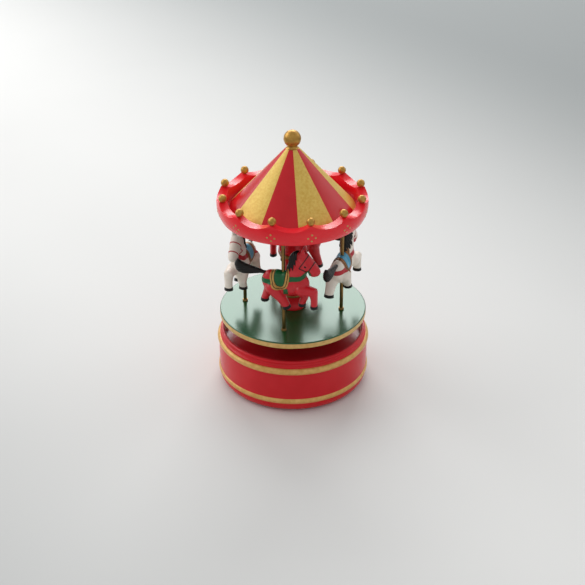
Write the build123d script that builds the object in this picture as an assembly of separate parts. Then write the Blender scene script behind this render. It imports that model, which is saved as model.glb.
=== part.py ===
"""Carousel music box: a turned wooden base with a spring movement, and a carousel of four horses that it turns.

Millimetres, +Z up, origin at the centre of the base's underside, front along -Y.
"""
from build123d import *
import os
from math import cos, hypot, pi, radians, sin

# ---------------------------------------------------------------- driving dimensions
# Fits
GLUE_GAP = 0.01             # glued or pressed piece in its hole, on the radius
RUN_GAP = 0.05              # shaft turning in a bush, on the radius
CLEAR = 0.3                 # between pieces that pass each other

# Movement: an 18-note work with its spring arbor upright on the centre line
BED_THICK = 2.2
MOTOR_RADIUS = 12.0         # spring housing
MOTOR_HEIGHT = 6.4
MOTOR_WALL = 0.8
ARBOR_RADIUS = 2.0
SPRING_TURNS = 6
SPRING_THICK = 0.35
GEAR_MODULE = 0.45          # great wheel and cylinder pinion
GREAT_TEETH = 48
PINION_TEETH = 16
WHEEL_THICK = 1.8
FACE_WIDTH = 2.0
TRAIN_MODULE = 0.35         # cylinder gear and governor pinion
CYLINDER_TEETH = 40
SECOND_TEETH = 10
TRAIN_WIDTH = 1.5
TRAIN_SLOPE = 45.0          # of the second axis below the cylinder axis, degrees
WORM_MODULE = 0.4
WORM_WHEEL_TEETH = 20
WORM_RADIUS = 1.6           # pitch radius
WORM_LENGTH = 5.2
WORM_WHEEL_WIDTH = 1.6
FAN_RADIUS = 3.6
FAN_HEIGHT = 5.0
CYLINDER_RADIUS = 6.5
CYLINDER_LENGTH = 12.4
PIN_LENGTH = 0.7
PIN_SIDE = 0.3
NOTES = 18
COMB_THICK = 0.8
COMB_TOOTH_LENGTH = 11.0
COMB_BAR = 7.4
COMB_SLOT = 0.17
STAFF_RADIUS = 0.8          # cylinder staff
PIVOT_RADIUS = 0.5          # second wheel and governor staffs
POST_THICK = 1.0

# Base
HEADROOM = 1.26             # movement to deck
BASE_WALL = 11.5            # cavity wall to red wall
PLATE_THICK = 4.0
PLATE_INSET = 1.7
PLATE_LEDGE = 4.7           # how far the plate's seat reaches inwards
DECK_THICK = 3.5
RECESS_DEPTH = 7.0
RECESS_WALL = 3.95          # red wall back to the recess wall
BUSH_RADIUS = 5.0
BUSH_FLANGE = 7.0
BUSH_FLANGE_THICK = 1.0
SCREW_RADIUS = 1.1
SCREW_HEAD = 2.1
SCREW_HEAD_THICK = 1.2
SCREW_GRIP = 7.0

# Carousel
DISC_RADIUS = 47.87
DISC_THICK = 4.2
DISC_ROUND = 0.7
DISC_RISE = 9.76            # open gap between base and disc
HUB_RADIUS = 11.0
HUB_THICK = 3.0
HUB_SCREW_CIRCLE = 8.0
POLE_COUNT = 4
POLE_CIRCLE = 32.06
POLE_RADIUS = 1.15
POLE_FIRST = -10.43         # first pole's angle from the front, degrees
FERRULE_WALL = 0.65
FERRULE_HEIGHT = 1.4
COLUMN_FOOT = 8.0
COLUMN_WAIST = 6.9
COLUMN_DRUM = 8.8
COLUMN_HEIGHT = 67.5        # disc to canopy
SPIGOT_RADIUS = 4.0
SPIGOT_LENGTH = 2.5
CANOPY_RADIUS = 41.45
CANOPY_THICK = 3.9
CROWN_WALL = 6.25           # canopy edge to the crown's widest
CROWN_TUCK = 2.0            # bottom edge inside the widest
CROWN_PEAK = 12.9           # crown height under the balls
CROWN_DIP = 3.1             # depth of the scallops
BALL_COUNT = 12
BALL_RADIUS = 2.6
BALL_INSET = 3.24           # ball circle inside the crown's widest
BALL_FIRST = 14.0
BALL_SEAT = 2.1             # ball centre above the crown's peak
DOWEL_RADIUS = 0.8
DOWEL_LENGTH = 3.0
ROOF_INSET = 1.65           # roof edge inside the canopy's edge
ROOF_HEIGHT = 40.2
ROOF_TIP = 4.15
FINIAL_RADIUS = 5.4
FINIAL_NECK = 3.0
FINIAL_RISE = 6.1           # finial ball centre above the roof

# Horses
HORSE_WIDTH = 10.2          # body
HORSE_TAPER = 16.0          # sides, degrees
HORSE_YAW = 7.0             # nose turned outwards, degrees
LEG_WIDTH = 4.4
TAIL_WIDTH = 5.0
HORSE_DROPS = (0.0, 2.4, 2.3, 2.6)      # each horse's place down its pole from the highest

# ---------------------------------------------------------------- places worked out from them
GREAT_RADIUS = GEAR_MODULE * GREAT_TEETH / 2
PINION_RADIUS = GEAR_MODULE * PINION_TEETH / 2
TRAIN_CENTRES = TRAIN_MODULE * (CYLINDER_TEETH + SECOND_TEETH) / 2
WORM_WHEEL_RADIUS = WORM_MODULE * WORM_WHEEL_TEETH / 2

plate_low = PLATE_INSET
bed_low = plate_low + PLATE_THICK
bed_top = bed_low + BED_THICK
motor_top = bed_top + MOTOR_HEIGHT
pin_reach = CYLINDER_RADIUS + PIN_LENGTH
staff_z = max(motor_top + CLEAR + PINION_RADIUS + GEAR_MODULE, bed_top + CLEAR + pin_reach,
              bed_top + CLEAR + TRAIN_MODULE * (CYLINDER_TEETH / 2 + 1),
              bed_top + CLEAR + WORM_WHEEL_RADIUS + WORM_MODULE + TRAIN_CENTRES * sin(radians(TRAIN_SLOPE)))
mesh_z = staff_z + PINION_RADIUS
wheel_low = mesh_z + 1.2 * GEAR_MODULE
wheel_top = wheel_low + WHEEL_THICK
deck_low = max(wheel_top, staff_z + pin_reach,
               staff_z + TRAIN_MODULE * (CYLINDER_TEETH / 2 + 1)) + HEADROOM
deck_top = deck_low + DECK_THICK
base_top = deck_top + RECESS_DEPTH
disc_low = base_top + DISC_RISE
disc_top = disc_low + DISC_THICK
canopy_low = disc_top + COLUMN_HEIGHT
canopy_top = canopy_low + CANOPY_THICK
crown_peak = canopy_low + CROWN_PEAK
ball_z = crown_peak + BALL_SEAT
crown_radius = CANOPY_RADIUS + CROWN_WALL
ball_circle = crown_radius - BALL_INSET
roof_radius = CANOPY_RADIUS - ROOF_INSET
roof_top = canopy_top + ROOF_HEIGHT
finial_z = roof_top + FINIAL_RISE

wheel_radius = GREAT_RADIUS + FACE_WIDTH / 2
pinion_x = GREAT_RADIUS - FACE_WIDTH / 2
inner_post_x = max(wheel_radius, MOTOR_RADIUS) + CLEAR + 0.3
cylinder_x = inner_post_x + POST_THICK + CLEAR
train_x = cylinder_x + CYLINDER_LENGTH + CLEAR
middle_post_x = train_x + TRAIN_WIDTH + CLEAR
worm_wheel_x = middle_post_x + POST_THICK + CLEAR
outer_post_x = worm_wheel_x + WORM_WHEEL_WIDTH + 2 * CLEAR + 0.4
second_y = TRAIN_CENTRES * cos(radians(TRAIN_SLOPE))
second_z = staff_z - TRAIN_CENTRES * sin(radians(TRAIN_SLOPE))
governor_x = worm_wheel_x + WORM_WHEEL_WIDTH / 2
governor_y = second_y + WORM_WHEEL_RADIUS + WORM_RADIUS
governor_low = bed_top + 0.2
worm_low = second_z - WORM_LENGTH / 2
fan_low = second_z + max(WORM_LENGTH / 2, WORM_WHEEL_RADIUS + WORM_MODULE) + 0.6
governor_top = fan_low + FAN_HEIGHT + 0.8
bracket_x = governor_x - FAN_RADIUS - 0.6
bracket_screw_x = bracket_x - 3.6
comb_tip_y = -(pin_reach + 0.15)
comb_block_y = comb_tip_y - COMB_TOOTH_LENGTH

cavity_radius = hypot(governor_x, governor_y) + FAN_RADIUS + 1.3
red_radius = cavity_radius + BASE_WALL
plate_radius = cavity_radius + PLATE_LEDGE
recess_radius = red_radius - RECESS_WALL
bed_radius = cavity_radius - 1.0
plate_screw_circle = cavity_radius + PLATE_LEDGE / 2

# The base's turned profile, by height above its underside and step out from the red wall
FOOT_ROUND = 4.6
BEAD_HALF = 1.7
LOW_BEAD_Z = 8.7
LOW_BEAD_OUT = 0.8
HIGH_BEAD_BELOW = 6.9       # bead centre below the rim's top
HIGH_BEAD_HALF = 1.9
HIGH_BEAD_OUT = 1.0
WALL_BULGE = 0.15
RIM_HALF = 1.35
RIM_BELOW = 3.9             # outer lip's shoulder below the rim's top


# ---------------------------------------------------------------- shape helpers
def outline(start, *steps):
    """Closed face in the XY plane. A step is a point, or (point on the arc, end point)."""
    edges = []
    here = start
    for step in steps + (start,):
        if isinstance(step[0], tuple):
            edges.append(ThreePointArc(here, step[0], step[1]))
            here = step[1]
        elif hypot(step[0] - here[0], step[1] - here[1]) > 1e-6:
            edges.append(Line(here, step))
            here = step
    return make_face(edges)


def turned(start, *steps):
    """Solid of revolution about Z from an outline of (radius, height) points."""
    return revolve(Plane.XZ * outline(start, *steps), Axis.Z)


def rod(radius, low, high, x=0.0, y=0.0):
    """Upright cylinder between two heights."""
    return Pos(x, y, low) * Cylinder(radius, high - low, align=(Align.CENTER, Align.CENTER, Align.MIN))


def facing_x(x, y=0.0, z=0.0):
    """Plane that faces +X, with its own x along +Y and its own y along +Z."""
    return Plane((x, y, z), x_dir=(0, 1, 0), z_dir=(1, 0, 0))


def rod_x(radius, x_from, x_to, y=0.0, z=0.0):
    """Cylinder along X."""
    return facing_x(x_from, y, z) * Cylinder(radius, x_to - x_from, align=(Align.CENTER, Align.CENTER, Align.MIN))


def block(x_from, x_to, y_from, y_to, z_from, z_to):
    """Box between two corners."""
    size = (x_to - x_from, y_to - y_from, z_to - z_from)
    return Pos(x_from, y_from, z_from) * Box(*size, align=(Align.MIN, Align.MIN, Align.MIN))


def prism(face, depth):
    return extrude(face, amount=depth, dir=(0, 0, 1))


def around(count, radius, first=0.0):
    """Points on a circle, counted from the front towards +X, with their angles in degrees."""
    for k in range(count):
        angle = first + 360.0 * k / count
        yield radius * sin(radians(angle)), -radius * cos(radians(angle)), angle


def gear_face(teeth, module, bore, first=0.0):
    """Flat gear outline with straight-sided teeth and a round bore; a tooth lies at the first angle."""
    tip, root = (teeth / 2 + 0.95) * module, (teeth / 2 - 1.2) * module
    pitch = 360.0 / teeth
    points = []
    for k in range(teeth):
        for radius, share in ((root, -0.30), (tip, -0.12), (tip, 0.12), (root, 0.30)):
            angle = radians(first + (k + share) * pitch)
            points.append((radius * cos(angle), radius * sin(angle)))
    return make_face(Polyline(*points, close=True)) - Circle(bore)


def wood_screw(x, y, seat, up=1, head_radius=SCREW_HEAD, grip=SCREW_GRIP):
    """Pan-head screw whose head stands below the seat when it is driven up."""
    shank = rod(SCREW_RADIUS, min(seat, seat + up * grip), max(seat, seat + up * grip), x, y)
    head = rod(head_radius, min(seat, seat - up * SCREW_HEAD_THICK), max(seat, seat - up * SCREW_HEAD_THICK), x, y)
    end = seat - up * SCREW_HEAD_THICK
    slot_low, slot_high = sorted((end, end + up * 0.5))
    slot = block(x - 2 * head_radius, x + 2 * head_radius, y - 0.25, y + 0.25, slot_low, slot_high)
    return head + shank - slot


def holes(points, radius, low, high):
    return [rod(radius, low, high, x, y) for x, y in points]


# ---------------------------------------------------------------- base
plate_screw_points = [(x, y) for x, y, _ in around(3, plate_screw_circle, 60.0)]
bed_screw_points = [(-MOTOR_RADIUS, 0.75 * MOTOR_RADIUS), (-MOTOR_RADIUS, -0.75 * MOTOR_RADIUS),
                    (cylinder_x + 2.0, comb_block_y - COMB_BAR / 4)]


def base_shell():
    r = red_radius
    low_z, high_z = LOW_BEAD_Z, base_top - HIGH_BEAD_BELOW
    lip_z = base_top - RIM_BELOW
    rim = recess_radius + RIM_HALF
    shell = turned(
        (plate_radius + GLUE_GAP, 0),
        (r - FOOT_ROUND, 0),
        ((r - 0.3 * FOOT_ROUND, 0.45 * FOOT_ROUND), (r, low_z - BEAD_HALF)),
        ((r + LOW_BEAD_OUT, low_z), (r, low_z + BEAD_HALF)),
        ((r + WALL_BULGE, (low_z + high_z) / 2), (r, high_z - HIGH_BEAD_HALF)),
        ((r + HIGH_BEAD_OUT, high_z), (r - 0.9, high_z + HIGH_BEAD_HALF)),
        ((r - 0.75, lip_z - 0.3), (r - 1.5, lip_z + 0.5)),
        ((rim + 0.75, base_top - 1.9), (rim + RIM_HALF - 0.1, base_top - 1.2)),
        ((rim, base_top), (recess_radius, base_top - 1.3)),
        (recess_radius, deck_top),
        (BUSH_RADIUS + GLUE_GAP, deck_top),
        (BUSH_RADIUS + GLUE_GAP, deck_low),
        (cavity_radius, deck_low),
        (cavity_radius, bed_low),
        (plate_radius + GLUE_GAP, bed_low),
    )
    screw_end = plate_low + SCREW_HEAD_THICK + SCREW_GRIP
    return shell - holes(plate_screw_points, SCREW_RADIUS + GLUE_GAP, bed_low - 1, screw_end + 0.2)


def base_plate():
    plate = rod(plate_radius, plate_low, bed_low)
    for x, y in plate_screw_points:
        plate -= rod(SCREW_RADIUS + GLUE_GAP, plate_low - 1, bed_low + 1, x, y)
        plate -= rod(SCREW_HEAD + GLUE_GAP, plate_low - 1, plate_low + SCREW_HEAD_THICK, x, y)
    for x, y in bed_screw_points:
        plate -= rod(SCREW_RADIUS + GLUE_GAP, plate_low - 1, bed_low + 1, x, y)
        plate -= rod(SCREW_HEAD + GLUE_GAP, plate_low - 1, plate_low + SCREW_HEAD_THICK, x, y)
    return plate


def base_screws():
    seat = plate_low + SCREW_HEAD_THICK
    return [wood_screw(x, y, seat) for x, y in plate_screw_points]


def movement_screws():
    seat = plate_low + SCREW_HEAD_THICK
    grip = bed_top - seat - 0.1
    return [wood_screw(x, y, seat, grip=grip) for x, y in bed_screw_points]


def deck_bush():
    bush = rod(BUSH_RADIUS, deck_low, deck_top) + rod(BUSH_FLANGE, deck_top, deck_top + BUSH_FLANGE_THICK)
    return bush - rod(ARBOR_RADIUS + RUN_GAP, deck_low - 1, deck_top + BUSH_FLANGE_THICK + 1)


# ---------------------------------------------------------------- movement, fixed pieces
def bearing_post(x, y_from, y_to, top, bores):
    post = block(x, x + POST_THICK, y_from, y_to, bed_top - 0.5, top)
    for y, z, radius in bores:
        post -= rod_x(radius + RUN_GAP, x - 1, x + POST_THICK + 1, y, z)
    return post


def comb_screw_points():
    y = comb_block_y - COMB_BAR / 2
    return [(cylinder_x + CYLINDER_LENGTH * share, y) for share in (0.25, 0.75)]


def movement_frame():
    west, east = -MOTOR_RADIUS - 3.5, outer_post_x + POST_THICK + 0.4
    south, north = comb_block_y - COMB_BAR, governor_y + 3.4
    bed = block(west, east, south, north, bed_low, bed_top) & rod(bed_radius, bed_low, bed_top)
    staff = (0.0, staff_z, STAFF_RADIUS)
    second = (second_y, second_z, PIVOT_RADIUS)
    bed += bearing_post(inner_post_x, -2.2, 2.2, staff_z + 2.2, [staff])
    bed += bearing_post(middle_post_x, -2.2, second_y + 1.8, staff_z + 2.2, [staff, second])
    bed += bearing_post(outer_post_x, second_y - 1.8, second_y + 1.5, second_z + 2.0, [second])
    bed += block(cylinder_x, cylinder_x + CYLINDER_LENGTH, south, comb_block_y, bed_top - 0.5,
                 staff_z - COMB_THICK / 2)
    bed -= rod(PIVOT_RADIUS + RUN_GAP, governor_low - 0.8, bed_top + 1, governor_x, governor_y)
    bed -= holes(bed_screw_points, SCREW_RADIUS + GLUE_GAP, bed_low - 1, bed_top + 0.01)
    bed -= holes(comb_screw_points(), 0.8 + GLUE_GAP, staff_z - 6, staff_z)
    bed -= rod(0.8 + GLUE_GAP, bed_low - 1, bed_top + 1, bracket_screw_x, governor_y)
    return bed


def comb():
    x_to = cylinder_x + CYLINDER_LENGTH
    low, high = staff_z - COMB_THICK / 2, staff_z + COMB_THICK / 2
    plate = block(cylinder_x, x_to, comb_block_y - COMB_BAR, comb_tip_y, low, high)
    pitch = CYLINDER_LENGTH / NOTES
    for k in range(1, NOTES):
        x = cylinder_x + k * pitch
        length = COMB_TOOTH_LENGTH * (0.55 + 0.4 * k / NOTES)
        plate -= block(x - COMB_SLOT / 2, x + COMB_SLOT / 2, comb_tip_y - length, comb_tip_y + 1, low - 1, high + 1)
    return plate - holes(comb_screw_points(), 0.8 + GLUE_GAP, low - 1, high + 1)


def comb_screws():
    seat = staff_z + COMB_THICK / 2
    return [rod(0.8, seat - 4.5, seat, x, y) + rod(1.5, seat, seat + 1.0, x, y) for x, y in comb_screw_points()]


def spring_housing():
    cup = rod(MOTOR_RADIUS, bed_top, motor_top)
    return cup - rod(MOTOR_RADIUS - MOTOR_WALL, bed_top + MOTOR_WALL, motor_top + 1)


def mainspring():
    """Ribbon wound from near the arbor out to the housing wall."""
    inner = ARBOR_RADIUS + CLEAR + SPRING_THICK
    outer = MOTOR_RADIUS - MOTOR_WALL - SPRING_THICK / 2 - 0.05
    steps = 24 * SPRING_TURNS
    near, far = [], []
    for k in range(steps + 1):
        angle = 2 * pi * k / 24
        radius = inner + (outer - inner) * k / steps
        near.append(((radius - SPRING_THICK / 2) * cos(angle), (radius - SPRING_THICK / 2) * sin(angle)))
        far.append(((radius + SPRING_THICK / 2) * cos(angle), (radius + SPRING_THICK / 2) * sin(angle)))
    ribbon = make_face(Polyline(*near, *reversed(far), close=True))
    low = bed_top + MOTOR_WALL + 0.1
    return Pos(0, 0, low) * prism(ribbon, motor_top - low - 0.2)


def governor_bracket():
    """Foot, post and top arm that hold the governor's upper pivot."""
    y_from, y_to = governor_y - 2.0, governor_y + 2.0
    bracket = block(bracket_x - 5.6, bracket_x, y_from, y_to, bed_top, bed_top + 1.2)
    bracket += block(bracket_x - 1.2, bracket_x, y_from, y_to, bed_top, governor_top + 0.8)
    bracket += block(bracket_x - 1.2, governor_x + 1.6, y_from, y_to, governor_top - 0.4, governor_top + 0.8)
    bracket -= rod(PIVOT_RADIUS + RUN_GAP, governor_top - 1, governor_top + 2, governor_x, governor_y)
    return bracket - rod(0.8 + GLUE_GAP, bed_top - 1, bed_top + 2, bracket_screw_x, governor_y)


def governor_screw():
    seat = bed_top + 1.2
    return rod(0.8, bed_low + 0.2, seat, bracket_screw_x, governor_y) + rod(
        1.4, seat, seat + 0.8, bracket_screw_x, governor_y)


# ---------------------------------------------------------------- movement, turning pieces
def music_cylinder():
    """Drum with a spiral of pins, which pluck the comb's teeth."""
    drum = rod_x(CYLINDER_RADIUS, cylinder_x, cylinder_x + CYLINDER_LENGTH, z=staff_z)
    drum -= rod_x(STAFF_RADIUS + GLUE_GAP, cylinder_x - 1, cylinder_x + CYLINDER_LENGTH + 1, z=staff_z)
    pitch = CYLINDER_LENGTH / NOTES
    pins = []
    for k in range(2 * NOTES):
        x = cylinder_x + (k % NOTES + 0.5) * pitch
        turn = Plane((x, 0, staff_z), x_dir=(1, 0, 0), z_dir=(0, -sin(2.4 * k), cos(2.4 * k)))
        pins.append(turn * Pos(0, 0, CYLINDER_RADIUS - 0.4) * Box(
            PIN_SIDE, PIN_SIDE, PIN_LENGTH + 0.4, align=(Align.CENTER, Align.CENTER, Align.MIN)))
    return drum + pins


def cylinder_staff():
    return rod_x(STAFF_RADIUS, pinion_x - 0.6, middle_post_x + POST_THICK + 0.5, z=staff_z)


def cylinder_gear():
    face = gear_face(CYLINDER_TEETH, TRAIN_MODULE, STAFF_RADIUS + GLUE_GAP, -TRAIN_SLOPE)
    return facing_x(train_x, z=staff_z) * prism(face, TRAIN_WIDTH)


def cylinder_pinion():
    """Pinion on the inner end of the staff; its top gap takes a tooth of the great wheel."""
    half_tooth = 180.0 / PINION_TEETH
    face = gear_face(PINION_TEETH, GEAR_MODULE, STAFF_RADIUS + GLUE_GAP, 90.0 + half_tooth)
    return facing_x(pinion_x, z=staff_z) * prism(face, FACE_WIDTH)


def second_wheel():
    """Pinion, staff and worm wheel, cut as one."""
    half_tooth = 180.0 / SECOND_TEETH
    pinion = gear_face(SECOND_TEETH, TRAIN_MODULE, 0.3, 180.0 - TRAIN_SLOPE + half_tooth)
    wheel = gear_face(WORM_WHEEL_TEETH, WORM_MODULE, 0.3, 180.0 / WORM_WHEEL_TEETH)
    at_train = facing_x(train_x, second_y, second_z)
    at_worm = facing_x(worm_wheel_x, second_y, second_z)
    staff = rod_x(PIVOT_RADIUS, train_x - 0.3, outer_post_x + POST_THICK + 0.3, second_y, second_z)
    return staff + at_train * prism(pinion, TRAIN_WIDTH) + at_worm * prism(wheel, WORM_WHEEL_WIDTH)


def governor_worm():
    """Single-start thread as a faceted solid: its radius repeats along a helix, and the ridge that faces the
    worm wheel lies at the wheel's own height, in the gap between two teeth."""
    steps = 8
    lead = pi * WORM_MODULE
    root, tip = WORM_RADIUS - 1.1 * WORM_MODULE, WORM_RADIUS + 0.7 * WORM_MODULE
    profile = (tip, 0.5 * (tip + root), root, root, root, root, root, 0.5 * (tip + root))
    half_rows = int(WORM_LENGTH / lead * steps / 2)
    rows = 2 * half_rows
    low = second_z - half_rows * lead / steps
    wheel_side = 6

    def point(row, column):
        angle = 2 * pi * column / steps
        radius = profile[(row - half_rows - column + wheel_side) % steps]
        return Vector(governor_x + radius * cos(angle), governor_y + radius * sin(angle), low + row * lead / steps)

    grid = [[point(row, column) for column in range(steps)] for row in range(rows + 1)]
    faces = []
    for row in range(rows):
        for column in range(steps):
            after = (column + 1) % steps
            a, b = grid[row][column], grid[row][after]
            c, d = grid[row + 1][after], grid[row + 1][column]
            faces.append(Face(Wire.make_polygon([a, b, c], close=True)))
            faces.append(Face(Wire.make_polygon([a, c, d], close=True)))
    for row in (0, rows):
        centre = Vector(governor_x, governor_y, low + row * lead / steps)
        for column in range(steps):
            ends = [centre, grid[row][column], grid[row][(column + 1) % steps]]
            faces.append(Face(Wire.make_polygon(ends, close=True)))
    return Solid(Shell(faces))


def governor():
    """Worm on its staff with a two-bladed air brake."""
    staff = rod(PIVOT_RADIUS, governor_low, governor_top + 0.5, governor_x, governor_y)
    boss = rod(1.0, worm_low + WORM_LENGTH - 0.3, fan_low + FAN_HEIGHT, governor_x, governor_y)
    blades = block(governor_x - FAN_RADIUS, governor_x + FAN_RADIUS, governor_y - 0.25, governor_y + 0.25,
                   fan_low, fan_low + FAN_HEIGHT)
    return governor_worm() + staff + boss + blades


# ---------------------------------------------------------------- carousel drive
def great_wheel():
    """Face gear: radial teeth hang from the underside of a disc."""
    wheel = rod(wheel_radius, wheel_low, wheel_top) + rod(2 * ARBOR_RADIUS, wheel_top, deck_low - 0.8)
    height = wheel_low - mesh_z + 0.9 * GEAR_MODULE
    half = 0.30 * pi * GEAR_MODULE / 2
    tooth = block(GREAT_RADIUS - FACE_WIDTH / 2, GREAT_RADIUS + FACE_WIDTH / 2 - 0.05, -half, half,
                  wheel_low - height, wheel_low + 0.2)
    wheel += [Rot(0, 0, 360.0 * k / GREAT_TEETH) * tooth for k in range(GREAT_TEETH)]
    return wheel - rod(ARBOR_RADIUS + GLUE_GAP, wheel_low - 1, wheel_top + 9)


def drive_arbor():
    return rod(ARBOR_RADIUS, bed_top + MOTOR_WALL + 0.2, disc_low - 0.5)


hub_screw_points = [(x, y) for x, y, _ in around(3, HUB_SCREW_CIRCLE, 60.0)]


def platform_hub():
    """Brass flange under the disc; its sleeve rests on the deck bush."""
    low = deck_top + BUSH_FLANGE_THICK + 0.2
    hub = rod(HUB_RADIUS, disc_low - HUB_THICK, disc_low) + rod(BUSH_RADIUS, low, disc_low - 0.5)
    hub -= rod(ARBOR_RADIUS + GLUE_GAP, low - 1, disc_low - 0.5)
    return hub - holes(hub_screw_points, SCREW_RADIUS + GLUE_GAP, disc_low - HUB_THICK - 1, disc_low + 1)


def hub_screws():
    seat = disc_low - HUB_THICK
    return [wood_screw(x, y, seat, head_radius=1.9, grip=HUB_THICK + DISC_THICK - 1.2) for x, y in hub_screw_points]


# ---------------------------------------------------------------- carousel
pole_places = [(x, y, angle) for x, y, angle in around(POLE_COUNT, POLE_CIRCLE, POLE_FIRST)]
pole_points = [(x, y) for x, y, _ in pole_places]
ball_points = [(x, y) for x, y, _ in around(BALL_COUNT, ball_circle, BALL_FIRST)]


def platform():
    r, t = DISC_RADIUS, DISC_ROUND
    disc = turned((0, disc_low), (r - t, disc_low), ((r - 0.3 * t, disc_low + 0.3 * t), (r, disc_low + t)),
                  (r, disc_top - t), ((r - 0.3 * t, disc_top - 0.3 * t), (r - t, disc_top)), (0, disc_top))
    disc -= holes(pole_points, POLE_RADIUS + GLUE_GAP, disc_low + 1.0, disc_top + 1)
    disc -= holes(hub_screw_points, SCREW_RADIUS + GLUE_GAP, disc_low - 1, disc_top - 1.2 + 0.05)
    return disc - rod(SPIGOT_RADIUS + GLUE_GAP, disc_top - SPIGOT_LENGTH, disc_top + 1)


def pole_ferrule(x, y):
    low, r = disc_top, POLE_RADIUS + FERRULE_WALL
    ring = turned((POLE_RADIUS + GLUE_GAP, low), (r, low), (r, low + 0.5 * FERRULE_HEIGHT),
                  (POLE_RADIUS + 0.35, low + FERRULE_HEIGHT), (POLE_RADIUS + GLUE_GAP, low + FERRULE_HEIGHT))
    return Pos(x, y, 0) * ring


def pole(x, y):
    return rod(POLE_RADIUS, disc_low + 1.0, canopy_low + CANOPY_THICK / 2, x, y)


def column():
    """Turned pillar: foot, band, waist, band, and a wider drum under the canopy."""
    low, foot, waist, drum = disc_top, COLUMN_FOOT, COLUMN_WAIST, COLUMN_DRUM
    band_low, band_high = low + 10.0, canopy_low - 28.5
    return turned(
        (0, low - SPIGOT_LENGTH), (SPIGOT_RADIUS, low - SPIGOT_LENGTH), (SPIGOT_RADIUS, low), (foot, low),
        ((foot + 0.35, low + 1.2), (foot - 0.2, low + 2.4)),
        ((foot - 1.0, low + 5.0), (waist, band_low - 1.2)),
        ((waist + 0.9, band_low), (waist, band_low + 1.2)),
        (waist, band_high - 9.0),
        ((waist + 0.35, band_high - 4.0), (drum - 0.9, band_high - 1.2)),
        ((drum + 0.1, band_high), (drum - 0.9, band_high + 1.2)),
        ((drum - 0.1, band_high + 2.6), (drum, band_high + 5.0)),
        (drum, canopy_low), (SPIGOT_RADIUS, canopy_low), (SPIGOT_RADIUS, canopy_low + SPIGOT_LENGTH),
        (0, canopy_low + SPIGOT_LENGTH))


def canopy_plate():
    plate = rod(CANOPY_RADIUS, canopy_low, canopy_top)
    plate -= holes(pole_points, POLE_RADIUS + GLUE_GAP, canopy_low - 1, canopy_low + CANOPY_THICK / 2 + 0.01)
    return plate - rod(SPIGOT_RADIUS + GLUE_GAP, canopy_low - 1, canopy_low + SPIGOT_LENGTH + 0.01)


def crown_ring():
    """Bulged ring round the canopy, its top scalloped between the balls."""
    inner, wide, edge = CANOPY_RADIUS + GLUE_GAP, crown_radius, crown_radius - CROWN_TUCK
    low, high = canopy_low, crown_peak
    ring = turned((inner, low), (edge - 0.5, low), ((edge - 0.15, low + 0.15), (edge, low + 0.5)),
                  ((wide, low + 7.0), (wide - 0.7, high - 0.6)), ((wide - 0.9, high - 0.1), (wide - 1.4, high)),
                  (inner + 0.5, high), ((inner + 0.15, high - 0.15), (inner, high - 0.5)))
    half_chord = ball_circle * sin(pi / BALL_COUNT)
    scallop = (half_chord ** 2 + CROWN_DIP ** 2) / (2 * CROWN_DIP)
    for k in range(BALL_COUNT):
        angle = BALL_FIRST + 360.0 * (k + 0.5) / BALL_COUNT
        cutter = rod_x(scallop, inner - 5, wide + 5, z=high - CROWN_DIP + scallop)
        ring -= Rot(0, 0, angle - 90.0) * cutter
    ring -= holes(ball_points, DOWEL_RADIUS + GLUE_GAP, high - DOWEL_LENGTH, high + 1)
    return ring - [Pos(x, y, ball_z) * Sphere(BALL_RADIUS + GLUE_GAP) for x, y in ball_points]


def crown_ball(x, y):
    return Pos(x, y, ball_z) * Sphere(BALL_RADIUS) + rod(DOWEL_RADIUS, crown_peak - DOWEL_LENGTH, ball_z, x, y)


def roof_cone():
    cone = turned((0, canopy_top), (roof_radius - 0.4, canopy_top),
                  ((roof_radius - 0.1, canopy_top + 0.15), (roof_radius - 0.2, canopy_top + 0.6)),
                  (ROOF_TIP, roof_top), (0, roof_top))
    return cone - rod(FINIAL_NECK - 1.0 + GLUE_GAP, roof_top - 8.0, roof_top + 1)


def finial():
    neck, ball = FINIAL_NECK, FINIAL_RADIUS
    join = finial_z - (ball ** 2 - neck ** 2) ** 0.5
    return turned((0, roof_top - 7.9), (neck - 1.0, roof_top - 7.9), (neck - 1.0, roof_top), (ROOF_TIP, roof_top),
                  ((neck + 0.35, roof_top + 0.5), (neck, join)), ((ball, finial_z), (0, finial_z + ball)))


# ---------------------------------------------------------------- horses
# Outlines in the horse's own plane: forward from the pole, and height above the disc.
HORSE_OUTLINE = [
    (-13.2, 36.0), (-13.0, 40.8), (-10.8, 43.2), (-5.0, 43.0), (0.5, 42.8), (2.6, 45.0), (3.0, 49.5), (5.4, 54.0),
    (9.4, 57.2), (11.6, 58.2), (13.0, 61.2), (14.4, 57.6), (15.8, 54.6), (19.2, 50.4), (22.8, 45.0), (22.3, 42.2),
    (18.4, 39.6), (16.4, 40.2), (16.6, 36.5), (15.6, 31.5), (13.4, 27.2), (7.0, 25.8), (-1.0, 26.0), (-8.5, 28.6)]
TAIL_OUTLINE = [
    (-11.5, 38.2), (-17.0, 40.2), (-23.0, 38.2), (-28.6, 37.2), (-31.6, 41.5), (-28.8, 47.8), (-22.5, 46.4),
    (-16.5, 43.6), (-11.5, 42.4)]
# Legs: side of the body (+1 is towards the column), then (forward, height, half thickness) down the leg.
LEGS = {
    "fore_raised": (-1, [(12.0, 31.0, 3.4), (19.6, 31.2, 2.8), (20.6, 24.0, 2.1), (20.3, 19.0, 2.5)]),
    "fore_under": (1, [(11.5, 30.0, 3.2), (13.4, 23.0, 2.4), (11.6, 16.8, 2.3)]),
    "hind_under": (-1, [(-8.0, 33.0, 4.4), (-5.6, 26.5, 3.4), (-2.2, 21.6, 2.2), (2.4, 17.2, 2.3)]),
    "hind_raised": (1, [(-8.6, 34.0, 4.4), (-9.2, 27.0, 3.2), (-13.2, 22.6, 2.1), (-13.4, 17.0, 2.3)]),
}


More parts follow.
